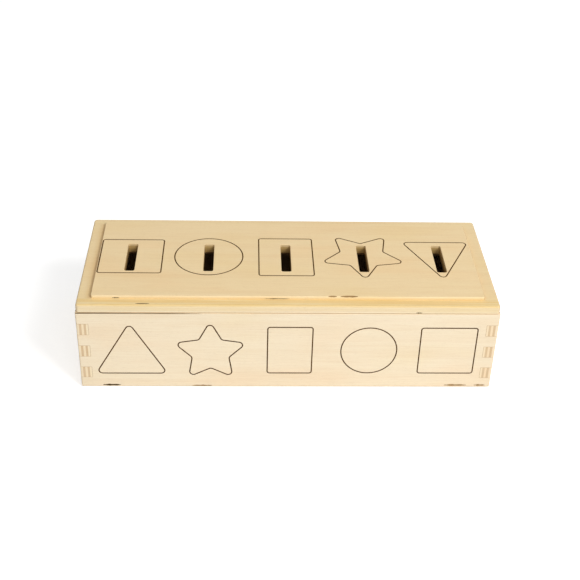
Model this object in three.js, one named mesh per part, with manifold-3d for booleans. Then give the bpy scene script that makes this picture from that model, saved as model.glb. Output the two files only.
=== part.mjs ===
// Wooden shape sorter box: a finger-jointed plywood box with five compartments,
// a loose lid with one posting slot per compartment, and a tile of each shape.
// Millimetres, +Z up, +X to the right and +Y to the back.
// The origin is the centre of the underside.

import * as THREE from 'three';
import { mergeVertices } from 'three/addons/utils/BufferGeometryUtils.js';
import Module from 'manifold-3d';

// Box
const BOX_LENGTH = 300;
const BOX_DEPTH = 120;
const BOX_HEIGHT = 66.2;
const WALL = 8.5;
const FINGER_SEGMENTS = 7;
const CORNER_RADIUS = 1.2;
const BOTTOM_EDGE_RADIUS = 2.2;

// Floor panel, let into a rabbet round the underside of the walls
const FLOOR_THICKNESS = 4;
const FLOOR_LAP = 4;

// Dividers, held in upright grooves in the front and back walls
const DIVIDER_THICKNESS = 3;
const DIVIDER_GROOVE_DEPTH = 2;
const DIVIDER_BELOW_RIM = 6;

// Lid: one board, thinned round its upper edge, so that turned over it drops into the box
const LID_THICKNESS = 8.5;
const LID_STEP_DEPTH = 2.5;
const LID_INSET = 0.5;
const LID_SIDE_CLEARANCE = 0.5;
const LID_END_CLEARANCE = 2;
const LID_CORNER_RADIUS = 2.5;
const LID_EDGE_RADIUS = 1.5;
const LID_LOWER_EDGE_RADIUS = 0.4;
const LID_PANEL_CORNER = 1.5;
const LID_PANEL_EDGE_RADIUS = 0.6;

// Posting slots; the lid's row of slots and outlines is a little left of the middle
const SLOT_LENGTH = 37;
const SLOT_WIDTH = 7.3;
const SLOT_CORNER = 1.5;
const SLOTS_LEFT = 1;

// Shape outlines burnt into the lid, sizes before the corners are rounded
const LID_SQUARE_SIDE = 46;
const LID_CIRCLE_DIAMETER = 50.4;
const LID_RECTANGLE_WIDTH = 40.2;
const LID_RECTANGLE_HEIGHT = 51.4;
const LID_STAR_RADIUS = 32.8;
const LID_STAR_NOTCH_RADIUS = 16.9;
const LID_TRIANGLE_WIDTH = 50.6;
const LID_TRIANGLE_HEIGHT = 51.6;
const LID_OUTLINES_BACK = 1.5;
const LID_TRIANGLE_FORWARD = 2.2;

// Shape outlines burnt into the front wall, sizes before the corners are rounded
const FRONT_SQUARE_SIDE = 40.5;
const FRONT_CIRCLE_DIAMETER = 40.4;
const FRONT_RECTANGLE_WIDTH = 32.2;
const FRONT_RECTANGLE_HEIGHT = 41;
const FRONT_STAR_RADIUS = 27.3;
const FRONT_STAR_NOTCH_RADIUS = 13.9;
const FRONT_TRIANGLE_WIDTH = 51.4;
const FRONT_TRIANGLE_HEIGHT = 44.5;
const FRONT_OUTLINES_RISE = 1;
const FRONT_OUTLINES_RIGHT = 1.2;
const FRONT_OUTLINES_PITCH = 57;

// Burnt lines
const LINE_WIDTH = 0.9;
const LINE_DEPTH = 0.4;
const BLUNT_CORNER_RADIUS = 1.8;
const POINT_CORNER_RADIUS = 2.7;
const STAR_POINTS = 5;

// Tiles, which take the front outlines' proportions
const TILE_SIDE_CLEARANCE = 1.15;
const TILE_END_CLEARANCE = 1;
const TILE_EDGE_RADIUS = 0.6;

// Clearances
const GLUE_GAP = 0.2;
const REST_GAP = 0.3;

// How finely curves are divided, and how far a cutter reaches past the surface it cuts
const CORNER_STEPS = 4;
const CIRCLE_STEPS = 32;
const EDGE_STEPS = 4;
const CUT_PAST = 5;

// Sizes that follow from the ones above
const INNER_LENGTH = BOX_LENGTH - 2 * WALL;
const INNER_DEPTH = BOX_DEPTH - 2 * WALL;
const LID_BOTTOM = BOX_HEIGHT + REST_GAP;
const LID_TOP = LID_BOTTOM + LID_THICKNESS;
const LID_FLANGE = LID_THICKNESS - LID_STEP_DEPTH;
const TILE_THICKNESS = SLOT_WIDTH - 2 * TILE_SIDE_CLEARANCE;
const TILE_SIZE = SLOT_LENGTH - 2 * TILE_END_CLEARANCE;

// Left to right as seen from the front: the lid is on the other way round from the front wall
const LID_ORDER = ['square', 'circle', 'rectangle', 'star', 'triangle'];
const FRONT_ORDER = ['triangle', 'star', 'rectangle', 'circle', 'square'];
const COMPARTMENTS = LID_ORDER.length;
const PITCH = (INNER_LENGTH + DIVIDER_THICKNESS) / COMPARTMENTS;

const LID_COLOUR = 0xe8cea3;
const FRONT_COLOUR = 0xf6e3c2;
const WALL_COLOUR = 0xeed8b2;
const FLOOR_COLOUR = 0xdcc194;
const DIVIDER_COLOUR = 0xe2c99d;
const TILE_COLOUR = 0xd9b27c;

const wasm = await Module();
wasm.setup();

// Solids

function solidFrom(geometry) {
  const bare = geometry.clone();
  bare.deleteAttribute('normal');
  bare.deleteAttribute('uv');
  const merged = mergeVertices(bare);
  return new wasm.Manifold(new wasm.Mesh({
    numProp: 3,
    vertProperties: new Float32Array(merged.attributes.position.array),
    triVerts: new Uint32Array(merged.index.array),
  }));
}

function geometryFrom(solid) {
  const mesh = solid.getMesh();
  const geometry = new THREE.BufferGeometry();
  geometry.setAttribute('position', new THREE.BufferAttribute(new Float32Array(mesh.vertProperties), 3));
  geometry.setIndex(new THREE.BufferAttribute(new Uint32Array(mesh.triVerts), 1));
  geometry.computeVertexNormals();
  return geometry;
}

// Block between two opposite corners
function block(low, high) {
  const size = high.clone().sub(low);
  const geometry = new THREE.BoxGeometry(size.x, size.y, size.z);
  geometry.translate((low.x + high.x) / 2, (low.y + high.y) / 2, (low.z + high.z) / 2);
  return solidFrom(geometry);
}

// Upright plate of a flat shape, from one height to another, with its outer edges rounded
function plate(shape, bottom, top, edgeRadius = 0) {
  const geometry = new THREE.ExtrudeGeometry(shape, {
    depth: top - bottom - 2 * edgeRadius,
    curveSegments: CORNER_STEPS,
    bevelEnabled: edgeRadius > 0,
    bevelThickness: edgeRadius,
    bevelSize: edgeRadius,
    bevelOffset: -edgeRadius,
    bevelSegments: EDGE_STEPS,
  });
  geometry.translate(0, 0, bottom + edgeRadius);
  return geometry;
}

// Flat shapes

function rectangleCorners(width, height) {
  return [
    new THREE.Vector2(-width / 2, -height / 2),
    new THREE.Vector2(width / 2, -height / 2),
    new THREE.Vector2(width / 2, height / 2),
    new THREE.Vector2(-width / 2, height / 2),
  ];
}

function triangleCorners(width, height) {
  return [
    new THREE.Vector2(-width / 2, 0),
    new THREE.Vector2(width / 2, 0),
    new THREE.Vector2(0, height),
  ];
}

function starCorners(tipRadius, notchRadius) {
  const corners = [];
  for (let i = 0; i < 2 * STAR_POINTS; i += 1) {
    const angle = Math.PI / 2 + (i * Math.PI) / STAR_POINTS;
    const radius = i % 2 === 0 ? tipRadius : notchRadius;
    corners.push(new THREE.Vector2(radius * Math.cos(angle), radius * Math.sin(angle)));
  }
  return corners;
}

// Outward normal of the side from one corner to the next, on a shape that runs anticlockwise
function sideNormal(from, to) {
  const along = to.clone().sub(from).normalize();
  return new THREE.Vector2(along.y, -along.x);
}

// Closed shape with rounded corners; a positive offset moves every side outwards
function roundedShape(corners, radius, offset = 0) {
  const count = corners.length;
  const shape = new THREE.Shape();
  corners.forEach((corner, i) => {
    const before = sideNormal(corners[(i + count - 1) % count], corner);
    const after = sideNormal(corner, corners[(i + 1) % count]);
    const miter = before.clone().add(after).divideScalar(1 + before.dot(after));
    const turnsIn = before.cross(after) < 0;
    const side = turnsIn ? -1 : 1;
    const cornerRadius = radius + side * offset;
    const centre = corner.clone().addScaledVector(miter, offset - side * cornerRadius);
    const start = before.clone().multiplyScalar(side).angle();
    const end = after.clone().multiplyScalar(side).angle();
    shape.absarc(centre.x, centre.y, cornerRadius, start, end, turnsIn);
  });
  shape.closePath();
  return shape;
}

function circleShape(diameter, offset = 0) {
  const shape = new THREE.Shape();
  shape.absarc(0, 0, diameter / 2 + offset, 0, 2 * Math.PI, false);
  return shape;
}

// The five outlines of one set of sizes, each as a function of the offset from its drawn line
function outlineSet(sizes) {
  const square = rectangleCorners(sizes.squareSide, sizes.squareSide);
  const rectangle = rectangleCorners(sizes.rectangleWidth, sizes.rectangleHeight);
  const star = starCorners(sizes.starRadius, sizes.starNotchRadius);
  const triangle = triangleCorners(sizes.triangleWidth, sizes.triangleHeight);
  return {
    square: (offset) => roundedShape(square, BLUNT_CORNER_RADIUS, offset),
    circle: (offset) => circleShape(sizes.circleDiameter, offset),
    rectangle: (offset) => roundedShape(rectangle, BLUNT_CORNER_RADIUS, offset),
    star: (offset) => roundedShape(star, POINT_CORNER_RADIUS, offset),
    triangle: (offset) => roundedShape(triangle, POINT_CORNER_RADIUS, offset),
  };
}

const LID_OUTLINES = outlineSet({
  squareSide: LID_SQUARE_SIDE,
  circleDiameter: LID_CIRCLE_DIAMETER,
  rectangleWidth: LID_RECTANGLE_WIDTH,
  rectangleHeight: LID_RECTANGLE_HEIGHT,
  starRadius: LID_STAR_RADIUS,
  starNotchRadius: LID_STAR_NOTCH_RADIUS,
  triangleWidth: LID_TRIANGLE_WIDTH,
  triangleHeight: LID_TRIANGLE_HEIGHT,
});

const FRONT_OUTLINES = outlineSet({
  squareSide: FRONT_SQUARE_SIDE,
  circleDiameter: FRONT_CIRCLE_DIAMETER,
  rectangleWidth: FRONT_RECTANGLE_WIDTH,
  rectangleHeight: FRONT_RECTANGLE_HEIGHT,
  starRadius: FRONT_STAR_RADIUS,
  starNotchRadius: FRONT_STAR_NOTCH_RADIUS,
  triangleWidth: FRONT_TRIANGLE_WIDTH,
  triangleHeight: FRONT_TRIANGLE_HEIGHT,
});

// A full circle is divided more finely than a rounded corner
function curveSteps(shape) {
  return shape.curves.length === 1 ? CIRCLE_STEPS : CORNER_STEPS;
}

// Number of places that a compartment, counted from the left, is right of the middle one
function fromMiddle(index) {
  return index - (COMPARTMENTS - 1) / 2;
}

// Where that compartment has its middle
function compartmentX(index) {
  return fromMiddle(index) * PITCH;
}

// Where the slot over that compartment has its middle
function slotX(index) {
  return compartmentX(index) - SLOTS_LEFT;
}

// Cutter for a burnt line, flat on z = 0, with the outline's box centred on the origin
function lineCutter(outline) {
  const shape = outline(LINE_WIDTH / 2);
  shape.holes.push(outline(-LINE_WIDTH / 2));
  const geometry = new THREE.ExtrudeGeometry(shape, {
    depth: LINE_DEPTH + CUT_PAST,
    curveSegments: curveSteps(shape),
    bevelEnabled: false,
  });
  geometry.computeBoundingBox();
  const middle = geometry.boundingBox.getCenter(new THREE.Vector3());
  geometry.translate(-middle.x, -middle.y, 0);
  return geometry;
}

// Box walls

// Bar with the box's width one way and its two bottom edges rounded; it runs past the box the other way
function roundedBar(width, run, runsAlongX) {
  const height = BOX_HEIGHT + 2 * BOTTOM_EDGE_RADIUS;
  const profile = roundedShape(rectangleCorners(width, height), BOTTOM_EDGE_RADIUS);
  const length = run + 2 * CUT_PAST;
  const bar = new THREE.ExtrudeGeometry(profile, {
    depth: length, curveSegments: CORNER_STEPS, bevelEnabled: false,
  });
  bar.translate(0, height / 2, -length / 2);
  bar.rotateX(Math.PI / 2);
  if (runsAlongX) {
    bar.rotateZ(Math.PI / 2);
  }
  return solidFrom(bar);
}

// Outside of the box with its rounded upright corners and bottom edges; open past the rim
function boxEnvelope() {
  const plan = roundedShape(rectangleCorners(BOX_LENGTH, BOX_DEPTH), CORNER_RADIUS);
  return solidFrom(plate(plan, -CUT_PAST, BOX_HEIGHT + CUT_PAST))
    .intersect(roundedBar(BOX_LENGTH, BOX_DEPTH, false))
    .intersect(roundedBar(BOX_DEPTH, BOX_LENGTH, true));
}

// The span of one finger up a corner, short of its neighbours by half a glue line each
function fingerSpan(segment) {
  const step = BOX_HEIGHT / FINGER_SEGMENTS;
  const low = segment === 0 ? 0 : segment * step + GLUE_GAP / 2;
  const high = segment === FINGER_SEGMENTS - 1 ? BOX_HEIGHT : (segment + 1) * step - GLUE_GAP / 2;
  return [low, high];
}

// Block of a wall that runs along X or along Y, from its spans along the wall, across it and up it
function wallBlock(runsAlongX, along, across, up) {
  const corner = (i) => (runsAlongX
    ? new THREE.Vector3(along[i], across[i], up[i])
    : new THREE.Vector3(across[i], along[i], up[i]));
  return block(corner(0), corner(1));
}

// Board on edge with fingers at both ends. Its own segments, the even or the odd ones, reach the end;
// the others stop at the neighbouring wall.
function fingerBoard(runsAlongX, length, middle, firstOwnSegment) {
  const shortLength = length - 2 * (WALL + GLUE_GAP);
  const across = [middle - WALL / 2, middle + WALL / 2];
  let board = wallBlock(runsAlongX, [-shortLength / 2, shortLength / 2], across, [0, BOX_HEIGHT]);
  for (let segment = firstOwnSegment; segment < FINGER_SEGMENTS; segment += 2) {
    board = board.add(wallBlock(runsAlongX, [-length / 2, length / 2], across, fingerSpan(segment)));
  }
  return board.intersect(boxEnvelope()).subtract(floorRabbet());
}

// Rabbet for the floor panel, round the underside of all four walls
function floorRabbet() {
  const length = INNER_LENGTH + 2 * (FLOOR_LAP + GLUE_GAP);
  const depth = INNER_DEPTH + 2 * (FLOOR_LAP + GLUE_GAP);
  return block(
    new THREE.Vector3(-length / 2, -depth / 2, -CUT_PAST),
    new THREE.Vector3(length / 2, depth / 2, FLOOR_THICKNESS + GLUE_GAP),
  );
}

// Where the divider with this number has its middle
function dividerX(index) {
  return compartmentX(index) + PITCH / 2;
}

// One upright slab, from the floor up, that takes in both ends of a divider
function dividerSlab(index, thickness, reach, bottom, top) {
  const x = dividerX(index);
  return block(
    new THREE.Vector3(x - thickness / 2, -INNER_DEPTH / 2 - reach, bottom),
    new THREE.Vector3(x + thickness / 2, INNER_DEPTH / 2 + reach, top),
  );
}

function cutDividerGrooves(board) {
  let cut = board;
  for (let index = 0; index < COMPARTMENTS - 1; index += 1) {
    cut = cut.subtract(dividerSlab(
      index, DIVIDER_THICKNESS + 2 * GLUE_GAP, DIVIDER_GROOVE_DEPTH + GLUE_GAP,
      FLOOR_THICKNESS, BOX_HEIGHT + CUT_PAST,
    ));
  }
  return cut;
}

// Front or back wall: side is -1 for the front and 1 for the back
function longWall(side) {
  return cutDividerGrooves(fingerBoard(true, BOX_LENGTH, (side * (BOX_DEPTH - WALL)) / 2, 0));
}

function frontWall() {
  let wall = longWall(-1);
  FRONT_ORDER.forEach((name, index) => {
    const cutter = lineCutter(FRONT_OUTLINES[name]);
    cutter.rotateX(Math.PI / 2);
    cutter.translate(
      fromMiddle(index) * FRONT_OUTLINES_PITCH + FRONT_OUTLINES_RIGHT,
      LINE_DEPTH - BOX_DEPTH / 2,
      BOX_HEIGHT / 2 + FRONT_OUTLINES_RISE,
    );
    wall = wall.subtract(solidFrom(cutter));
  });
  return wall;
}

// Left or right wall: side is -1 for the left and 1 for the right
function shortWall(side) {
  return fingerBoard(false, BOX_DEPTH, (side * (BOX_LENGTH - WALL)) / 2, 1);
}

function floorPanel() {
  const length = INNER_LENGTH + 2 * FLOOR_LAP;
  const depth = INNER_DEPTH + 2 * FLOOR_LAP;
  return block(
    new THREE.Vector3(-length / 2, -depth / 2, 0),
    new THREE.Vector3(length / 2, depth / 2, FLOOR_THICKNESS),
  );
}

function divider(index) {
  return dividerSlab(
    index, DIVIDER_THICKNESS, DIVIDER_GROOVE_DEPTH,
    FLOOR_THICKNESS + GLUE_GAP, BOX_HEIGHT - DIVIDER_BELOW_RIM,
  );
}

// Lid

function lid() {
  const flangeEdge = Math.min(LID_EDGE_RADIUS, LID_FLANGE / 3);
  const flangePlan = roundedShape(
    rectangleCorners(BOX_LENGTH - 2 * LID_INSET, BOX_DEPTH - 2 * LID_INSET), LID_CORNER_RADIUS);
  const panelPlan = roundedShape(
    rectangleCorners(INNER_LENGTH - 2 * LID_END_CLEARANCE, INNER_DEPTH - 2 * LID_SIDE_CLEARANCE),
    LID_PANEL_CORNER);
  const flange = solidFrom(plate(flangePlan, LID_BOTTOM, LID_BOTTOM + LID_FLANGE, flangeEdge));
  // The lower half fills out the flange's lower edge, which is only eased
  const lowerHalf = solidFrom(plate(
    flangePlan, LID_BOTTOM, LID_BOTTOM + LID_FLANGE / 2, Math.min(LID_LOWER_EDGE_RADIUS, flangeEdge)));
  const panelFoot = LID_BOTTOM + LID_FLANGE / 3;
  const panelEdge = Math.min(LID_PANEL_EDGE_RADIUS, LID_STEP_DEPTH / 2);
  const panel = solidFrom(plate(panelPlan, panelFoot, LID_TOP, panelEdge));
  let board = flange.add(lowerHalf).add(panel);
  const slotPlan = roundedShape(rectangleCorners(SLOT_WIDTH, SLOT_LENGTH), SLOT_CORNER);
  LID_ORDER.forEach((name, index) => {
    const slot = plate(slotPlan, LID_BOTTOM - CUT_PAST, LID_TOP + CUT_PAST);
    slot.translate(slotX(index), 0, 0);
    // The outlines on the lid are drawn to be read from the back of the box
    const line = lineCutter(LID_OUTLINES[name]);
    const back = LID_OUTLINES_BACK - (name === 'triangle' ? LID_TRIANGLE_FORWARD : 0);
    line.rotateZ(Math.PI);
    line.translate(slotX(index), back, LID_TOP - LINE_DEPTH);
    board = board.subtract(solidFrom(slot)).subtract(solidFrom(line));
  });
  return board;
}

// Tiles

// A tile stands on edge under its slot, with its thickness across the slot's width
function tileGeometry(name) {
  const shape = FRONT_OUTLINES[name](0);
  const box = new THREE.Box2().setFromPoints(shape.getPoints(CIRCLE_STEPS));
  const size = box.getSize(new THREE.Vector2());
  const scale = TILE_SIZE / Math.max(size.x, size.y);
  const edge = Math.min(TILE_EDGE_RADIUS, TILE_THICKNESS / 4);
  const geometry = new THREE.ExtrudeGeometry(shape, {
    depth: TILE_THICKNESS - 2 * edge,
    curveSegments: curveSteps(shape),
    bevelEnabled: true,
    bevelThickness: edge,
    bevelSize: edge / scale,
    bevelOffset: -edge / scale,
    bevelSegments: EDGE_STEPS,
  });
  geometry.translate(-(box.min.x + box.max.x) / 2, -box.min.y, edge - TILE_THICKNESS / 2);
  geometry.scale(scale, scale, 1);
  const standUp = new THREE.Matrix4().makeBasis(
    new THREE.Vector3(0, 1, 0), new THREE.Vector3(0, 0, 1), new THREE.Vector3(1, 0, 0));
  geometry.applyMatrix4(standUp);
  return geometryFrom(solidFrom(geometry));
}

// Assembly

function piece(name, geometry, colour, roughness) {
  const material = new THREE.MeshStandardMaterial({ color: colour, roughness, metalness: 0 });
  const mesh = new THREE.Mesh(geometry, material);
  mesh.name = name;
  return mesh;
}

const sorter = new THREE.Group();
sorter.name = 'shape_sorter_box';

sorter.add(piece('front_wall', geometryFrom(frontWall()), FRONT_COLOUR, 0.6));
sorter.add(piece('back_wall', geometryFrom(longWall(1)), WALL_COLOUR, 0.6));
sorter.add(piece('left_wall', geometryFrom(shortWall(-1)), WALL_COLOUR, 0.6));
sorter.add(piece('right_wall', geometryFrom(shortWall(1)), WALL_COLOUR, 0.6));
sorter.add(piece('floor_panel', geometryFrom(floorPanel()), FLOOR_COLOUR, 0.7));
for (let index = 0; index < COMPARTMENTS - 1; index += 1) {
  sorter.add(piece(`divider_${index + 1}`, geometryFrom(divider(index)), DIVIDER_COLOUR, 0.7));
}

sorter.add(piece('lid', geometryFrom(lid()), LID_COLOUR, 0.6));

LID_ORDER.forEach((name, index) => {
  const tile = piece(`tile_${name}`, tileGeometry(name), TILE_COLOUR, 0.55);
  tile.position.set(slotX(index), 0, FLOOR_THICKNESS + REST_GAP);
  sorter.add(tile);
});

export default sorter;
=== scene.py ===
import math
from dataclasses import dataclass

import bmesh
import bpy
from mathutils import Matrix, Vector


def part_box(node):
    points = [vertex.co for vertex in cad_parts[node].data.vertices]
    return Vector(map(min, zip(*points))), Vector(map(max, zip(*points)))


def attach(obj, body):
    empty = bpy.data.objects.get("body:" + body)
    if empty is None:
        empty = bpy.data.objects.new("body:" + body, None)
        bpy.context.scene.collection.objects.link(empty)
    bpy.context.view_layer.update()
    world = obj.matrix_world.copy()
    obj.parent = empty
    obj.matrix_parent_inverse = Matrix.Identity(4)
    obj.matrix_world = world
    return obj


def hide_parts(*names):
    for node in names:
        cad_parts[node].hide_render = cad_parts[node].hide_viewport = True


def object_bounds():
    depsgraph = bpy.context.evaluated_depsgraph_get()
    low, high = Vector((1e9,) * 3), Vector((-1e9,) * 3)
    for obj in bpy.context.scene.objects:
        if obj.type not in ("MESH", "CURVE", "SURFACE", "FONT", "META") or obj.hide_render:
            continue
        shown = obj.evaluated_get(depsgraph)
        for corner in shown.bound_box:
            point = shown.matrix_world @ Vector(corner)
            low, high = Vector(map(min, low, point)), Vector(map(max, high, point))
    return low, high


# Looks of a wooden shape sorter box: plywood boards, burnt outlines, glued finger joints and loose tiles.
# Metres, +Z up, +X to the right and +Y to the back, as in the CAD frame.

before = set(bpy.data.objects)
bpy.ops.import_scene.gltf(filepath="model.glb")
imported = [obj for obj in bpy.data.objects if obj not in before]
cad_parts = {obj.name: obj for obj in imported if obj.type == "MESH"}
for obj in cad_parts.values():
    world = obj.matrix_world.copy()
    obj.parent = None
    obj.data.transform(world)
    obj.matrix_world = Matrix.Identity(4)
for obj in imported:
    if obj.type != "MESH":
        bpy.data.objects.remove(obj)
cad_low, cad_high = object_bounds()
boxes = {node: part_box(node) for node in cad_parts}

MM = 0.001
X, Y, Z = 0, 1, 2

# Sizes of the CAD solids that the finish follows
WALL = boxes["left_wall"][1].x - boxes["left_wall"][0].x
BOX_HEIGHT = boxes["front_wall"][1].z
FINGER_SEGMENTS = 7
GLUE_GAP = 0.2 * MM
CORNER_RADIUS = 1.2 * MM
BOTTOM_EDGE_RADIUS = 2.2 * MM
LINE_DEPTH = 0.4 * MM

# Sizes of the finish that the CAD solids leave plain
WELD_DISTANCE = 0.002 * MM
FLAT_ANGLE = math.radians(0.5)
SHARP_ANGLE = math.radians(50)
RIM_RADIUS = 0.3 * MM
SLOT_ARRIS = 0.3 * MM
THIN_BOARD_ARRIS = 0.3 * MM
ARRIS_STEPS = 3
ROUND_PROFILE = 0.5
GLUE_BELOW_SURFACE = 0.03 * MM
GLUE_CORNER_STEPS = 8

# How the faces of the burnt lines and of the posting slots are told from the rest
LINE_REACH = 1.05 * LINE_DEPTH
LINE_DIP = 0.5 * LINE_DEPTH
LINE_CLEAR_OF_EDGE = 3 * MM
UPRIGHT_NORMAL_Z = 0.1
SLOT_WALL_SHARE = 0.9

# Strips of the lid in front of its raised panel and to the left of it
LID_STRIP_DEPTH = 8.6 * MM
LID_END_STRIP = 10.0 * MM
# Width of the painted shadow of the raised panel, on the strip at its left end
PAINTED_SHADOW_WIDTH = 6.5 * MM
BELOW_PANEL_TOP = 1.6 * MM
TONE_BORDER = 0.4 * MM

# Camera, as fitted to the photograph
CAMERA_PLACE = Vector((-30.5, -689.3, 509.2)) * MM
CAMERA_YAW = math.radians(2.768)
CAMERA_PITCH = math.radians(33.856)
CAMERA_ROLL = math.radians(-1.844)
CAMERA_LENS = 67.98
SENSOR_WIDTH = 36.0

# Stage and light
FLOOR_SIZE = 12.0
FLOOR_DROP = 0.1 * MM
FLOOR_PAINT = (0.88, 0.88, 0.88, 1.0)
FLOOR_GLOW = 0.48
FAR_FLOOR_GLOW = 0.68
FLOOR_NEAR = 0.6
FLOOR_FAR = 2.5
SKY_STRENGTH = 0.42
KEY_PLACE = Vector((1.15, -1.25, 1.54))
KEY_SIZE = 0.7
KEY_POWER = 26.5
FILL_PLACE = Vector((0.1, -1.5, 1.1))
FILL_SIZE = 1.0
FILL_POWER = 6.0


def srgb(red, green, blue):
    """Linear colour, with alpha, of an 8-bit screen colour."""
    def linear(value):
        share = value / 255
        return share / 12.92 if share <= 0.04045 else ((share + 0.055) / 1.055) ** 2.4
    return (linear(red), linear(green), linear(blue), 1.0)


BLACK = (0.0, 0.0, 0.0, 1.0)
WHITE = (1.0, 1.0, 1.0, 1.0)

# Tones of each ply: on the board's broad face, along its edge and on end grain
FACE_PALE = (srgb(243, 227, 198), srgb(243, 225, 194), srgb(226, 200, 164))
CORE_PALE = (srgb(242, 224, 190), srgb(243, 223, 189), srgb(220, 193, 156))
FACE_LID = (srgb(249, 223, 175), srgb(251, 230, 187), srgb(198, 164, 116))
CORE_BEIGE = (srgb(247, 222, 173), srgb(240, 215, 164), srgb(218, 190, 144))
CORE_CREAM = (srgb(240, 220, 180), srgb(239, 219, 180), srgb(226, 200, 158))
# Inner ply: its broad face, inside the box and under the lid, is darkened as painted shade; its edge and end
# grain keep pale tones
INSIDE_PAINTED_SHADE = (srgb(172, 138, 98), srgb(244, 227, 194), srgb(226, 200, 162))
# Walls of the posting slots: painted shade, darker ply by ply towards the bottom of the slot
SLOT_TOP = (srgb(234, 208, 158), srgb(230, 204, 154), srgb(220, 192, 142))
SLOT_UPPER = (srgb(200, 171, 114), srgb(196, 167, 110), srgb(188, 157, 102))
SLOT_MIDDLE = (srgb(182, 153, 98), srgb(178, 149, 94), srgb(170, 139, 86))
SLOT_LOWER = (srgb(172, 143, 90), srgb(168, 139, 86), srgb(158, 127, 76))
SLOT_BOTTOM = (srgb(96, 72, 40), srgb(92, 68, 38), srgb(84, 62, 34))
# Floor panel and dividers, inside the box: broad faces darkened as painted shade, edges lighter
THIN_FACE_PAINTED_SHADE = (srgb(174, 140, 100), srgb(206, 174, 132), srgb(180, 146, 104))
THIN_CORE_PAINTED_SHADE = (srgb(168, 134, 94), srgb(196, 162, 120), srgb(172, 138, 96))
TILE_FACE = (srgb(226, 190, 138), srgb(222, 186, 136), srgb(188, 146, 96))
TILE_CORE = (srgb(214, 172, 120), srgb(212, 170, 118), srgb(178, 134, 86))

# Tones that lie over the plies
LID_FRONT_STRIP = srgb(243, 212, 150)
LID_STRIP_STREAK = srgb(250, 230, 184)
# Painted shadow beside the left end of the raised panel
PAINTED_SHADOW_STRIP = srgb(232, 200, 145)
PORE_TONE = srgb(190, 162, 132)
GLUE_LINE_TONE = srgb(206, 180, 144)

# Plies from the face that shows to the one behind it, and how deep each begins as a share of the thickness
# The last ply of walls and lid carries painted shade on its broad face
WALL_PLIES = (FACE_PALE, CORE_PALE, CORE_PALE, CORE_PALE, INSIDE_PAINTED_SHADE)
WALL_DEPTHS = (0.0, 0.26, 0.44, 0.65, 0.82)
LID_PLIES = (FACE_LID, CORE_BEIGE, CORE_CREAM, CORE_CREAM, INSIDE_PAINTED_SHADE)
LID_DEPTHS = (0.0, 0.2, 0.4, 0.6, 0.8)
# Painted shade down the walls of the posting slots
SLOT_PLIES_PAINTED_SHADE = (SLOT_TOP, SLOT_UPPER, SLOT_MIDDLE, SLOT_LOWER, SLOT_BOTTOM)
THIN_PLIES_PAINTED_SHADE = (THIN_FACE_PAINTED_SHADE, THIN_CORE_PAINTED_SHADE, THIN_FACE_PAINTED_SHADE)
TILE_PLIES = (TILE_FACE, TILE_CORE, TILE_FACE)
THREE_DEPTHS = (0.0, 0.33, 0.67)


@dataclass
class Board:
    """One plywood board: its CAD node, the axis through its thickness and the axis of its face grain.

    Its plies are counted from its low or its high side along the axis through it. In a crossed board, the
    grain of every second ply runs across the face grain. The seed sets its own part of each pattern.
    """
    node: str
    body: str
    slot: str
    through: int
    grain: int
    plies: tuple
    depths: tuple
    from_high: bool = False
    crossed: bool = True
    seed: float = 0.0


DIVIDER_COUNT = 4
FIRST_DIVIDER_SEED = 7.0
TILE_SHAPES = ("square", "circle", "rectangle", "star", "triangle")
FIRST_TILE_SEED = 11.0
BOARDS = [
    Board("front_wall", "box", "wall_plywood", Y, X, WALL_PLIES, WALL_DEPTHS, seed=1.0),
    Board("back_wall", "box", "wall_plywood", Y, X, WALL_PLIES, WALL_DEPTHS, from_high=True, seed=2.0),
    Board("left_wall", "box", "wall_plywood", X, Z, WALL_PLIES, WALL_DEPTHS, seed=3.0),
    Board("right_wall", "box", "wall_plywood", X, Z, WALL_PLIES, WALL_DEPTHS, from_high=True, seed=4.0),
    Board("floor_panel", "box", "thin_plywood", Z, X, THIN_PLIES_PAINTED_SHADE, THREE_DEPTHS, seed=5.0),
    Board("lid", "lid", "lid_plywood", Z, X, LID_PLIES, LID_DEPTHS, from_high=True, crossed=False, seed=6.0),
]
for number in range(DIVIDER_COUNT):
    divider = f"divider_{number + 1}"
    seed = FIRST_DIVIDER_SEED + number
    BOARDS.append(Board(divider, "box", "thin_plywood", X, Y, THIN_PLIES_PAINTED_SHADE, THREE_DEPTHS, seed=seed))
for number, shape in enumerate(TILE_SHAPES):
    tile = f"tile_{shape}"
    seed = FIRST_TILE_SEED + number
    BOARDS.append(Board(tile, tile, "tile_wood", X, Z, TILE_PLIES, THREE_DEPTHS, seed=seed))


# Node trees

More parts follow.
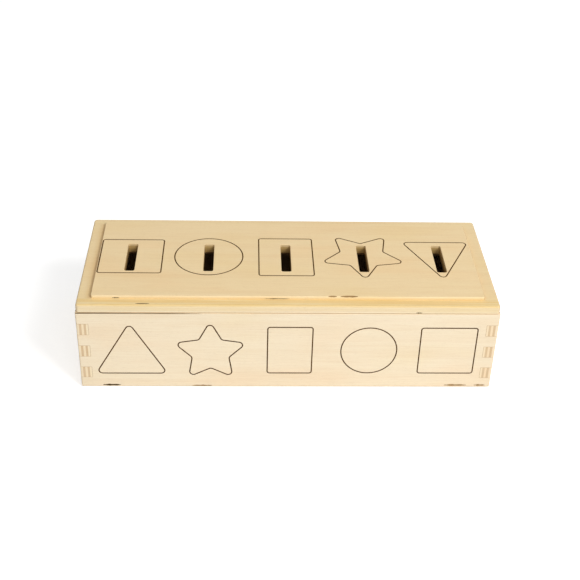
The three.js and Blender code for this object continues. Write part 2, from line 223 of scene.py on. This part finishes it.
class Nodes:
    """An emptied node tree, with short calls that add its nodes and link them."""

    SHIFT_SHARES = (1.0, 1.7, 2.3)

    def __init__(self, tree):
        self.tree = tree
        tree.nodes.clear()

    def add(self, kind, inputs=None, **settings):
        node = self.tree.nodes.new(kind)
        for name, value in settings.items():
            setattr(node, name, value)
        for socket, value in (inputs or {}).items():
            if isinstance(value, bpy.types.NodeSocket):
                self.tree.links.new(value, node.inputs[socket])
            else:
                node.inputs[socket].default_value = value
        return node

    def math(self, operation, first, second=0.0, clamp=False):
        node = self.add("ShaderNodeMath", {0: first, 1: second}, operation=operation, use_clamp=clamp)
        return node.outputs[0]

    def ramp(self, value, low, high, to_low=0.0, to_high=1.0):
        """Value carried smoothly from one range to another, and held at its ends."""
        inputs = {"Value": value, "From Min": low, "From Max": high, "To Min": to_low, "To Max": to_high}
        return self.add("ShaderNodeMapRange", inputs, interpolation_type="SMOOTHSTEP").outputs["Result"]

    def noise(self, vector, detail=2.0, roughness=0.5):
        inputs = {"Vector": vector, "Scale": 1.0, "Detail": detail, "Roughness": roughness}
        return self.add("ShaderNodeTexNoise", inputs).outputs["Fac"]

    def stretched(self, vector, scale, shift=0.0):
        """Places for a pattern, scaled by axis and moved to another part of the pattern."""
        location = [share * shift for share in self.SHIFT_SHARES]
        inputs = {"Vector": vector, "Location": location, "Scale": scale}
        return self.add("ShaderNodeMapping", inputs).outputs["Vector"]

    def mix_vectors(self, share, first, second):
        return self.add("ShaderNodeMix", {0: share, 4: first, 5: second}, data_type="VECTOR").outputs[1]

    def mix(self, share, first, second, blend="MIX"):
        node = self.add("ShaderNodeMix", {0: share, 6: first, 7: second}, data_type="RGBA", blend_type=blend)
        return node.outputs[2]

    def layers(self, share, starts, colours):
        """One colour after another, each from its own start on, as share goes from 0 to 1."""
        node = self.add("ShaderNodeValToRGB", {"Fac": share})
        node.color_ramp.interpolation = "CONSTANT"
        elements = node.color_ramp.elements
        while len(elements) < len(colours):
            elements.new(1.0)
        for index, colour in enumerate(colours):
            elements[index].position = starts[index]
            elements[index].color = colour
        return node.outputs["Color"]


def new_material(name):
    material = bpy.data.materials.new(name)
    material.use_nodes = True
    return material, Nodes(material.node_tree)


def finish_surface(nodes, colour, roughness, height, bump_depth, specular):
    """Principled surface with a bump, as the material's output."""
    bump = nodes.add("ShaderNodeBump", {"Strength": 1.0, "Distance": bump_depth, "Height": height})
    surface = nodes.add("ShaderNodeBsdfPrincipled", {
        "Base Color": colour,
        "Roughness": roughness,
        "Normal": bump.outputs["Normal"],
        "Specular IOR Level": specular,
    })
    nodes.add("ShaderNodeOutputMaterial", {"Surface": surface.outputs["BSDF"]})


# Wood

@dataclass
class Grain:
    """A noise pattern: how often it changes per metre along and across the grain, and how fine it is."""
    along: float
    across: float
    detail: float
    roughness: float = 0.5


FIBRES = Grain(45.0, 2600.0, 3.0, 0.6)
FIGURE = Grain(7.0, 150.0, 3.0, 0.6)
PATCHES = Grain(9.0, 30.0, 2.0)
PORES = Grain(420.0, 5200.0, 1.0)
STREAK_SCALE = (9.0, 420.0, 420.0)
NOISE_MIDDLE = 0.5

# How far the borders between plies wander and how near they come to a face, as shares of the thickness
WANDER_SCALE = (60.0, 60.0, 60.0)
WANDER_SHARE = 0.05
CLEAR_OF_FACE = 0.06

# From where a turn of the surface or a pattern begins to show to where it shows in full, and how strongly
END_GRAIN_TURN = (0.35, 0.85)
BROAD_FACE_TURN = (0.6, 0.95)
PORE_RANGE = (0.62, 0.74)
PORE_SHARE = 0.2
STREAK_RANGE = (0.45, 0.65)
STREAK_SHARE = 0.6
GLUE_LINE_RANGE = (0.02, 0.004)
GLUE_LINE_SHARE = 0.3

WOOD_ROUGHNESS = 0.45
FIBRE_ROUGHNESS = 0.2
END_GRAIN_ROUGHNESS = 0.15
WOOD_SPECULAR = 0.3
FIBRE_BUMP = 0.03 * MM


@dataclass
class Tint:
    """A tone that multiplies the wood's, from where one of its patterns begins to where it shows in full."""
    pattern: str
    begins: float
    full: float
    share: float
    tone: tuple


# Pink and yellow patches, streaks of figure and threads of fibre
TINTS = [
    Tint("patches", 0.48, 0.72, 0.3, srgb(255, 238, 224)),
    Tint("patches", 0.5, 0.28, 0.3, srgb(252, 247, 226)),
    Tint("figure", 0.42, 0.7, 0.18, srgb(240, 224, 204)),
    Tint("fibres", 0.4, 0.75, 0.2, srgb(226, 208, 184)),
]


def grain_scale(along_axis, along, across):
    """Scale that stretches a pattern along one axis."""
    scale = [across] * 3
    scale[along_axis] = along
    return scale


def ply_depth(nodes, board, place, at):
    """How deep in the board a point is, as a share of its thickness, with slightly wandering borders."""
    low, high = boxes[board.node]
    thickness = high[board.through] - low[board.through]
    wander = nodes.noise(nodes.stretched(place, WANDER_SCALE, board.seed))
    wander = nodes.math("MULTIPLY", nodes.math("SUBTRACT", wander, NOISE_MIDDLE), WANDER_SHARE)
    if board.from_high:
        depth = nodes.math("SUBTRACT", high[board.through], at[board.through])
    else:
        depth = nodes.math("SUBTRACT", at[board.through], low[board.through])
    depth = nodes.math("ADD", nodes.math("DIVIDE", depth, thickness), wander)
    depth = nodes.math("MAXIMUM", depth, CLEAR_OF_FACE)
    return nodes.math("MINIMUM", depth, 1 - CLEAR_OF_FACE)


def lid_strips(nodes, board, place, at, face_tone):
    """The lid's face tone with the strips beside its raised panel."""
    low, high = boxes[board.node]
    below_panel = nodes.ramp(at[Z], high.z - BELOW_PANEL_TOP + TONE_BORDER, high.z - BELOW_PANEL_TOP)
    panel_front = low.y + LID_STRIP_DEPTH
    panel_back = high.y - LID_STRIP_DEPTH
    panel_end = low.x + LID_END_STRIP

    # Yellow strip with paler streaks in front of the panel
    strip = nodes.math("MULTIPLY", below_panel, nodes.ramp(at[Y], panel_front, panel_front - TONE_BORDER))
    streaks = nodes.noise(nodes.stretched(place, STREAK_SCALE, board.seed))
    streaks = nodes.ramp(streaks, *STREAK_RANGE, to_high=STREAK_SHARE)
    strip_tone = nodes.mix(streaks, LID_FRONT_STRIP, LID_STRIP_STREAK)
    face_tone = nodes.mix(strip, face_tone, strip_tone)

    # Painted shadow of the raised panel on the strip beside its left end
    painted_shadow = nodes.ramp(at[X], panel_end - PAINTED_SHADOW_WIDTH, panel_end)
    painted_shadow = nodes.math("MULTIPLY", painted_shadow, nodes.ramp(at[X], panel_end + TONE_BORDER, panel_end))
    painted_shadow = nodes.math("MULTIPLY", painted_shadow, nodes.ramp(at[Y], panel_front - TONE_BORDER, panel_front))
    painted_shadow = nodes.math("MULTIPLY", painted_shadow, nodes.ramp(at[Y], panel_back + TONE_BORDER, panel_back))
    painted_shadow = nodes.math("MULTIPLY", painted_shadow, below_panel)
    return nodes.mix(painted_shadow, face_tone, PAINTED_SHADOW_STRIP)


def plywood(board, name, plies):
    """Material of one board: plies through its thickness, fibres along each ply and darker end grain."""
    material, nodes = new_material(name)
    cross = X + Y + Z - board.through - board.grain
    odd_grain = cross if board.crossed else board.grain

    coordinates = nodes.add("ShaderNodeTexCoord").outputs
    place = coordinates["Object"]
    at = nodes.add("ShaderNodeSeparateXYZ", {0: place}).outputs
    facing = nodes.add("ShaderNodeSeparateXYZ", {0: coordinates["Normal"]}).outputs
    depth = ply_depth(nodes, board, place, at)

    # Whether the ply's grain is turned, and how far the surface cuts across its fibres
    turned = nodes.layers(depth, board.depths, [WHITE if index % 2 else BLACK for index in range(len(plies))])
    even_end = nodes.math("ABSOLUTE", facing[board.grain])
    odd_end = nodes.math("ABSOLUTE", facing[odd_grain])
    end_grain = nodes.add("ShaderNodeMix", {0: turned, 2: even_end, 3: odd_end}).outputs[0]
    end_grain = nodes.ramp(end_grain, *END_GRAIN_TURN)
    broad_face = nodes.ramp(nodes.math("ABSOLUTE", facing[board.through]), *BROAD_FACE_TURN)

    def pattern(grain):
        even = nodes.stretched(place, grain_scale(board.grain, grain.along, grain.across), board.seed)
        odd = nodes.stretched(place, grain_scale(odd_grain, grain.along, grain.across), board.seed)
        return nodes.noise(nodes.mix_vectors(turned, even, odd), grain.detail, grain.roughness)

    patterns = {"fibres": pattern(FIBRES), "figure": pattern(FIGURE), "patches": pattern(PATCHES)}
    fibres = patterns["fibres"]
    pores = nodes.ramp(pattern(PORES), *PORE_RANGE)

    face_tone = nodes.layers(depth, board.depths, [face for face, edge, end in plies])
    edge_tone = nodes.layers(depth, board.depths, [edge for face, edge, end in plies])
    end_tone = nodes.layers(depth, board.depths, [end for face, edge, end in plies])
    if board.node == "lid":
        face_tone = lid_strips(nodes, board, place, at, face_tone)
    colour = nodes.mix(broad_face, edge_tone, face_tone)
    colour = nodes.mix(end_grain, colour, end_tone)

    for tint in TINTS:
        share = nodes.ramp(patterns[tint.pattern], tint.begins, tint.full, to_high=tint.share)
        colour = nodes.mix(share, colour, tint.tone, "MULTIPLY")
    colour = nodes.mix(nodes.math("MULTIPLY", pores, PORE_SHARE), colour, PORE_TONE, "MULTIPLY")

    # Thin glue line between plies
    to_border = 1.0
    for border in board.depths[1:]:
        distance = nodes.math("ABSOLUTE", nodes.math("SUBTRACT", depth, border))
        to_border = nodes.math("MINIMUM", distance, to_border)
    glue_line = nodes.ramp(to_border, *GLUE_LINE_RANGE, to_high=GLUE_LINE_SHARE)
    colour = nodes.mix(glue_line, colour, GLUE_LINE_TONE, "MULTIPLY")

    roughness = nodes.math("ADD", nodes.math("MULTIPLY", fibres, FIBRE_ROUGHNESS), WOOD_ROUGHNESS)
    end_roughness = nodes.math("MULTIPLY", end_grain, END_GRAIN_ROUGHNESS)
    roughness = nodes.math("ADD", roughness, end_roughness, clamp=True)
    height = nodes.math("SUBTRACT", fibres, pores)
    finish_surface(nodes, colour, roughness, height, FIBRE_BUMP, WOOD_SPECULAR)
    return material


# Burnt, torn and glued surfaces

@dataclass
class Speckle:
    """A surface whose tone, roughness and bump follow one fine pattern.

    The scale is how often the pattern changes per metre, by axis. A pale tone shows in slow patches.
    """
    name: str
    scale: tuple
    dark: tuple
    light: tuple
    roughness: float
    more_roughness: float
    bump: float
    specular: float
    pale: tuple = None


SPECKLE_DETAIL = 3.0
SPECKLE_ROUGHNESS = 0.6
PALE_SCALE = (45, 45, 45)
PALE_RANGE = (0.35, 0.7)
PALE_SHARE = 0.5


def speckled(kind):
    """Material of a speckled surface."""
    material, nodes = new_material(kind.name)
    place = nodes.add("ShaderNodeTexCoord").outputs["Object"]
    specks = nodes.noise(nodes.stretched(place, kind.scale), SPECKLE_DETAIL, SPECKLE_ROUGHNESS)
    colour = nodes.mix(specks, kind.dark, kind.light)
    if kind.pale:
        patches = nodes.noise(nodes.stretched(place, PALE_SCALE))
        colour = nodes.mix(nodes.ramp(patches, *PALE_RANGE, to_high=PALE_SHARE), colour, kind.pale)
    roughness = nodes.math("ADD", nodes.math("MULTIPLY", specks, kind.more_roughness), kind.roughness)
    finish_surface(nodes, colour, roughness, specks, kind.bump, kind.specular)
    return material


# Scorched wood at the bottom and sides of a burnt line
BURNT_LINE = speckled(Speckle(
    "burnt_line", (900, 900, 900), srgb(66, 38, 8), srgb(98, 63, 20),
    roughness=0.7, more_roughness=0.25, bump=0.05 * MM, specular=0.05, pale=srgb(112, 76, 28),
))

# Raw wood inside a gap in a ply, darkened as painted shade
PLY_VOID_PAINTED_SHADE = speckled(Speckle(
    "ply_void_painted_shade", (300, 2500, 2500), srgb(70, 52, 26), srgb(132, 104, 58),
    roughness=0.75, more_roughness=0.2, bump=0.1 * MM, specular=0.2,
))

# Rubbed inner ply, where the outer one has chipped away
WORN_PLY = speckled(Speckle(
    "worn_ply", (120, 2500, 2500), srgb(132, 98, 56), srgb(194, 160, 110),
    roughness=0.7, more_roughness=0.2, bump=0.1 * MM, specular=0.2,
))

# Wood glue with sanding dust, in the finger joints
DRIED_GLUE = speckled(Speckle(
    "dried_glue", (700, 700, 700), srgb(168, 132, 90), srgb(200, 168, 124),
    roughness=0.5, more_roughness=0.2, bump=0.05 * MM, specular=0.3,
))


# Meshes

def clean_copy(node):
    """Editable copy of a CAD node, with its split corners welded and its flat faces joined."""
    mesh = bmesh.new()
    mesh.from_mesh(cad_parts[node].data)
    bmesh.ops.remove_doubles(mesh, verts=mesh.verts, dist=WELD_DISTANCE)
    bmesh.ops.dissolve_limit(mesh, angle_limit=FLAT_ANGLE, verts=mesh.verts, edges=mesh.edges)
    bmesh.ops.recalc_face_normals(mesh, faces=mesh.faces)
    return mesh


def soften(mesh, radius, wanted):
    """Rounds the sharp outer edges that wanted() picks."""
    edges = [
        edge for edge in mesh.edges
        if edge.is_manifold and edge.is_convex and edge.calc_face_angle() > SHARP_ANGLE and wanted(edge)
    ]
    bmesh.ops.bevel(
        mesh, geom=edges, offset=radius, offset_type="OFFSET", affect="EDGES",
        segments=ARRIS_STEPS, profile=ROUND_PROFILE, clamp_overlap=False, material=-1,
    )


def every_vertex(element, test):
    return all(test(vertex.co) for vertex in element.verts)


def add_piece(name, mesh, materials, body):
    """New object from a bmesh, shaded smooth up to its sharp edges, that rides on a body."""
    data = bpy.data.meshes.new(name)
    mesh.to_mesh(data)
    mesh.free()
    piece = bpy.data.objects.new(name, data)
    bpy.context.scene.collection.objects.link(piece)
    for material in materials:
        data.materials.append(material)
    shade(piece)
    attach(piece, body)
    return piece


def shade(piece):
    """Shades a piece smooth, up to its steep edges and the borders between its materials."""
    mesh = bmesh.new()
    mesh.from_mesh(piece.data)
    for face in mesh.faces:
        face.smooth = True
    for edge in mesh.edges:
        is_steep = edge.is_manifold and edge.calc_face_angle() > SHARP_ANGLE
        is_border = len({face.material_index for face in edge.link_faces}) > 1
        edge.smooth = not (is_steep or is_border)
    mesh.to_mesh(piece.data)
    mesh.free()


def weight_normals(piece):
    modifier = piece.modifiers.new("flat_faces_stay_flat", "WEIGHTED_NORMAL")
    modifier.keep_sharp = True


# Gaps and chips in the plies

@dataclass
class Void:
    """A gap in a ply, in millimetres: its middle, its length along X, and its height and depth."""
    middle: tuple
    length: float
    height: float
    depth: float


# A void's middle stays off the planes of its board and off the level line, because a cut that starts
# from a ring of points in such a plane doesn't come out the same every time
CHIP_LEVEL = 2.7
FRONT_VOIDS = [
    Void((-127.9, -59.96, 2.4), 13.2, 1.5, 2.0),
    # This long void under the lid's edge lines the seam at the left with painted shade
    Void((-149.93, -59.96, 66.03), 180.0, 0.6, 0.6),
]
FRONT_CHIPS = [
    Void((-62.4, -59.9, 1.8), 15.0, 1.3, 0.6),
    Void((124.2, -59.96, 2.64), 17.0, 1.5, 0.5),
    Void((142.4, -59.96, 2.64), 8.5, 1.4, 0.5),
]
LID_VOIDS = [
    Void((-102.8, -57.03, 72.46), 10.0, 0.6, 0.5),
    Void((-8.5, -50.96, 73.03), 18.0, 0.5, 0.6),
    Void((91.8, -59.46, 67.23), 4.6, 0.7, 0.8),
    Void((-121.8, -50.96, 73.23), 5.0, 0.7, 0.7),
]
LID_CHIPS = [
    Void((30.7, -50.7, 74.9), 6.0, 0.8, 0.9),
    Void((42.5, -50.7, 74.9), 12.5, 1.0, 1.1),
]

# Lens of a void, one across before it is stretched, and the waves that make its height ragged
LENS_RADIUS = 0.5
LENS_SEGMENTS = 24
LENS_RINGS = 12
COARSE_RAG = 0.25
COARSE_WAVE = 17
FINE_RAG = 0.15
FINE_WAVE = 41


def void_cutter(voids, material):
    """Object holding one ragged lens for each void."""
    mesh = bmesh.new()
    for void in voids:
        made = bmesh.ops.create_uvsphere(
            mesh, u_segments=LENS_SEGMENTS, v_segments=LENS_RINGS, radius=LENS_RADIUS,
        )
        for vertex in made["verts"]:
            along = vertex.co.x
            coarse = COARSE_RAG * math.sin(COARSE_WAVE * along + void.middle[0])
            fine = FINE_RAG * math.sin(FINE_WAVE * along)
            vertex.co.x *= void.length
            vertex.co.y *= 2 * void.depth
            vertex.co.z *= void.height * (1 + coarse + fine)
            vertex.co = (vertex.co + Vector(void.middle)) * MM
    data = bpy.data.meshes.new("void_cutter")
    mesh.to_mesh(data)
    mesh.free()
    data.materials.append(material)
    cutter = bpy.data.objects.new("void_cutter", data)
    bpy.context.scene.collection.objects.link(cutter)
    return cutter


def add_level_line(piece, height):
    """Splits the faces of a piece along a level line, so that a chip on the line starts from an edge."""
    mesh = bmesh.new()
    mesh.from_mesh(piece.data)
    whole = mesh.verts[:] + mesh.edges[:] + mesh.faces[:]
    bmesh.ops.bisect_plane(mesh, geom=whole, dist=WELD_DISTANCE, plane_co=(0, 0, height), plane_no=(0, 0, 1))
    mesh.to_mesh(piece.data)
    mesh.free()


def weld_rims(piece):
    """Joins the ends of the shortest edges that carving leaves."""
    mesh = bmesh.new()
    mesh.from_mesh(piece.data)
    bmesh.ops.remove_doubles(mesh, verts=mesh.verts, dist=WELD_DISTANCE)
    bmesh.ops.dissolve_degenerate(mesh, edges=mesh.edges, dist=WELD_DISTANCE)
    mesh.to_mesh(piece.data)
    mesh.free()


def carve(piece, voids, material):
    """Cuts the voids out of a piece's mesh and lines them with a material."""
    cutter = void_cutter(voids, material)
    modifier = piece.modifiers.new("voids", "BOOLEAN")
    modifier.operation = "DIFFERENCE"
    modifier.solver = "EXACT"
    modifier.material_mode = "TRANSFER"
    modifier.object = cutter
    evaluated = piece.evaluated_get(bpy.context.evaluated_depsgraph_get())
    carved = bpy.data.meshes.new_from_object(evaluated)
    piece.modifiers.clear()
    whole = piece.data
    piece.data = carved
    carved.name = whole.name
    bpy.data.meshes.remove(whole)
    cut = cutter.data
    bpy.data.objects.remove(cutter)
    bpy.data.meshes.remove(cut)
    weld_rims(piece)
    shade(piece)


# Boards

def line_faces(node, axis, from_high, clear):
    """Test for the faces of the burnt lines' grooves in one side of a node, well inside its edges."""
    low, high = boxes[node]
    side_axes = [other for other in (X, Y, Z) if other != axis]

    def depth(co):
        return high[axis] - co[axis] if from_high else co[axis] - low[axis]

    def is_line(face):
        in_line = every_vertex(face, lambda co: depth(co) < LINE_REACH)
        dips = any(depth(vertex.co) > LINE_DIP for vertex in face.verts)
        middle = face.calc_center_median()
        inside = all(low[side] + clear < middle[side] < high[side] - clear for side in side_axes)
        return in_line and dips and inside

    return is_line


def is_slot_wall(face):
    """An upright face of a posting slot, as tall as the lid."""
    low, high = boxes["lid"]
    heights = [vertex.co.z for vertex in face.verts]
    is_upright = abs(face.normal.z) < UPRIGHT_NORMAL_Z
    return is_upright and max(heights) - min(heights) > SLOT_WALL_SHARE * (high.z - low.z)


def slot_edges(mesh):
    """Test for the edges round the posting slots: those that join a slot's upright walls to a flat face."""
    walls = {face for face in mesh.faces if is_slot_wall(face)}
    return lambda edge: sum(face in walls for face in edge.link_faces) == 1


def mark(mesh, test, material_index):
    """Gives the faces that pass the test one of the piece's materials."""
    for face in mesh.faces:
        if test(face):
            face.material_index = material_index


def build_board(board):
    mesh = clean_copy(board.node)
    top = boxes[board.node][1].z
    materials = [plywood(board, f"{board.node}_wood", board.plies)]
    if board.node == "lid":
        materials.append(BURNT_LINE)
        mark(mesh, line_faces("lid", Z, True, WALL + LINE_CLEAR_OF_EDGE), 1)
        # The slot walls carry painted shade, darker towards the bottom
        materials.append(plywood(board, "slot_walls_painted_shade", SLOT_PLIES_PAINTED_SHADE))
        mark(mesh, is_slot_wall, 2)
        soften(mesh, SLOT_ARRIS, slot_edges(mesh))
    elif board.slot == "wall_plywood":
        if board.node == "front_wall":
            materials.append(BURNT_LINE)
            mark(mesh, line_faces("front_wall", Y, False, LINE_CLEAR_OF_EDGE), 1)
        soften(mesh, RIM_RADIUS, lambda edge: every_vertex(edge, lambda co: co.z > top - WELD_DISTANCE))
    elif board.slot == "thin_plywood":
        soften(mesh, THIN_BOARD_ARRIS, lambda edge: True)
    piece = add_piece(f"{board.node}_board", mesh, materials, board.body)
    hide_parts(board.node)
    return piece


# Glue in the finger joints

def corner_plan(side_x, side_y):
    """Plan of the post where two walls cross, a little inside the sanded surface."""
    half_length = cad_high.x - GLUE_BELOW_SURFACE
    half_depth = cad_high.y - GLUE_BELOW_SURFACE
    inner_x = cad_high.x - WALL
    inner_y = cad_high.y - WALL
    points = [(inner_x, inner_y), (half_length, inner_y)]
    for step in range(GLUE_CORNER_STEPS + 1):
        angle = 0.5 * math.pi * step / GLUE_CORNER_STEPS
        points.append((
            half_length - CORNER_RADIUS * (1 - math.cos(angle)),
            half_depth - CORNER_RADIUS * (1 - math.sin(angle)),
        ))
    points.append((inner_x, half_depth))
    return [(side_x * x, side_y * y) for x, y in points]


def add_prism(mesh, plan, bottom, top):
    """Closed upright prism of a plan."""
    lower = [mesh.verts.new((x, y, bottom)) for x, y in plan]
    upper = [mesh.verts.new((x, y, top)) for x, y in plan]
    mesh.faces.new(lower)
    mesh.faces.new(upper)
    for index in range(len(plan)):
        after = (index + 1) % len(plan)
        mesh.faces.new((lower[index], lower[after], upper[after], upper[index]))


def build_glue(name, side_x, side_y):
    """The glue line of one corner: a leaf between every two fingers, and one behind each finger."""
    mesh = bmesh.new()
    step = BOX_HEIGHT / FINGER_SEGMENTS
    plan = corner_plan(side_x, side_y)
    for segment in range(1, FINGER_SEGMENTS):
        add_prism(mesh, plan, segment * step - GLUE_GAP / 2, segment * step + GLUE_GAP / 2)
    inner_x = cad_high.x - WALL
    inner_y = cad_high.y - WALL
    for segment in range(FINGER_SEGMENTS):
        if segment % 2 == 0:
            xs = (inner_x, cad_high.x - GLUE_BELOW_SURFACE)
            ys = (inner_y - GLUE_GAP, inner_y)
        else:
            xs = (inner_x - GLUE_GAP, inner_x)
            ys = (inner_y, cad_high.y - GLUE_BELOW_SURFACE)
        leaf = [(xs[0], ys[0]), (xs[1], ys[0]), (xs[1], ys[1]), (xs[0], ys[1])]
        leaf = [(side_x * x, side_y * y) for x, y in leaf]
        bottom = max(segment * step + GLUE_GAP / 2, BOTTOM_EDGE_RADIUS)
        add_prism(mesh, leaf, bottom, (segment + 1) * step - GLUE_GAP / 2)
    bmesh.ops.recalc_face_normals(mesh, faces=mesh.faces)
    return add_piece(name, mesh, [DRIED_GLUE], "box")


pieces = {board.node: build_board(board) for board in BOARDS}
add_level_line(pieces["front_wall"], CHIP_LEVEL * MM)
carve(pieces["front_wall"], FRONT_VOIDS, PLY_VOID_PAINTED_SHADE)
carve(pieces["front_wall"], FRONT_CHIPS, WORN_PLY)
carve(pieces["lid"], LID_VOIDS, PLY_VOID_PAINTED_SHADE)
carve(pieces["lid"], LID_CHIPS, WORN_PLY)
for piece in pieces.values():
    weight_normals(piece)
for side_y, depth_name in ((-1, "front"), (1, "back")):
    for side_x, length_name in ((-1, "left"), (1, "right")):
        build_glue(f"glue_{depth_name}_{length_name}", side_x, side_y)


# Stage, light and camera

def shown_white(nodes):
    """1 for what the eye sees, directly or in a reflection, and 0 for light that falls on things."""
    path = nodes.add("ShaderNodeLightPath").outputs
    seen = nodes.math("MAXIMUM", path["Is Camera Ray"], path["Is Glossy Ray"])
    return nodes.math("MAXIMUM", seen, path["Is Transmission Ray"])


def build_floor():
    """Pale floor that keeps the box's shadow, and glows to white with the distance."""
    mesh = bmesh.new()
    bmesh.ops.create_grid(mesh, x_segments=1, y_segments=1, size=FLOOR_SIZE / 2)
    data = bpy.data.meshes.new("studio_floor")
    mesh.to_mesh(data)
    mesh.free()
    floor = bpy.data.objects.new("studio_floor", data)
    floor.location.z = -FLOOR_DROP
    bpy.context.scene.collection.objects.link(floor)
    material, nodes = new_material("white_floor")
    paint = nodes.add("ShaderNodeBsdfDiffuse", {"Color": FLOOR_PAINT})
    place = nodes.add("ShaderNodeTexCoord").outputs["Object"]
    reach = nodes.add("ShaderNodeVectorMath", {0: place}, operation="LENGTH").outputs["Value"]
    glow_strength = nodes.ramp(reach, FLOOR_NEAR, FLOOR_FAR, FLOOR_GLOW, FAR_FLOOR_GLOW)
    glow_strength = nodes.math("MULTIPLY", shown_white(nodes), glow_strength)
    glow = nodes.add("ShaderNodeEmission", {"Strength": glow_strength})
    both = nodes.add("ShaderNodeAddShader", {0: paint.outputs[0], 1: glow.outputs[0]})
    nodes.add("ShaderNodeOutputMaterial", {"Surface": both.outputs[0]})
    data.materials.append(material)


def build_sky():
    world = bpy.data.worlds.new("studio")
    world.use_nodes = True
    bpy.context.scene.world = world
    nodes = Nodes(world.node_tree)
    strength = nodes.ramp(shown_white(nodes), 0.0, 1.0, SKY_STRENGTH, 1.0)
    sky = nodes.add("ShaderNodeBackground", {"Color": WHITE, "Strength": strength})
    nodes.add("ShaderNodeOutputWorld", {"Surface": sky.outputs[0]})


def add_softbox(name, place, size, power):
    """Square area light that faces the middle of the box."""
    light = bpy.data.lights.new(name, "AREA")
    light.size = size
    light.energy = power
    softbox = bpy.data.objects.new(name, light)
    softbox.location = place
    target = (cad_low + cad_high) / 2
    softbox.rotation_euler = (target - softbox.location).to_track_quat("-Z", "Y").to_euler()
    bpy.context.scene.collection.objects.link(softbox)


def add_camera():
    data = bpy.data.cameras.new("camera")
    data.sensor_width = SENSOR_WIDTH
    data.lens = CAMERA_LENS
    camera = bpy.data.objects.new("camera", data)
    turn = (
        Matrix.Rotation(-CAMERA_YAW, 4, "Z")
        @ Matrix.Rotation(math.pi / 2 - CAMERA_PITCH, 4, "X")
        @ Matrix.Rotation(-CAMERA_ROLL, 4, "Z")
    )
    camera.matrix_world = Matrix.Translation(CAMERA_PLACE) @ turn
    bpy.context.scene.collection.objects.link(camera)
    bpy.context.scene.camera = camera


build_floor()
build_sky()
add_softbox("key_softbox", KEY_PLACE, KEY_SIZE, KEY_POWER)
add_softbox("fill_softbox", FILL_PLACE, FILL_SIZE, FILL_POWER)
add_camera()
bpy.context.scene.view_settings.view_transform = "Standard"
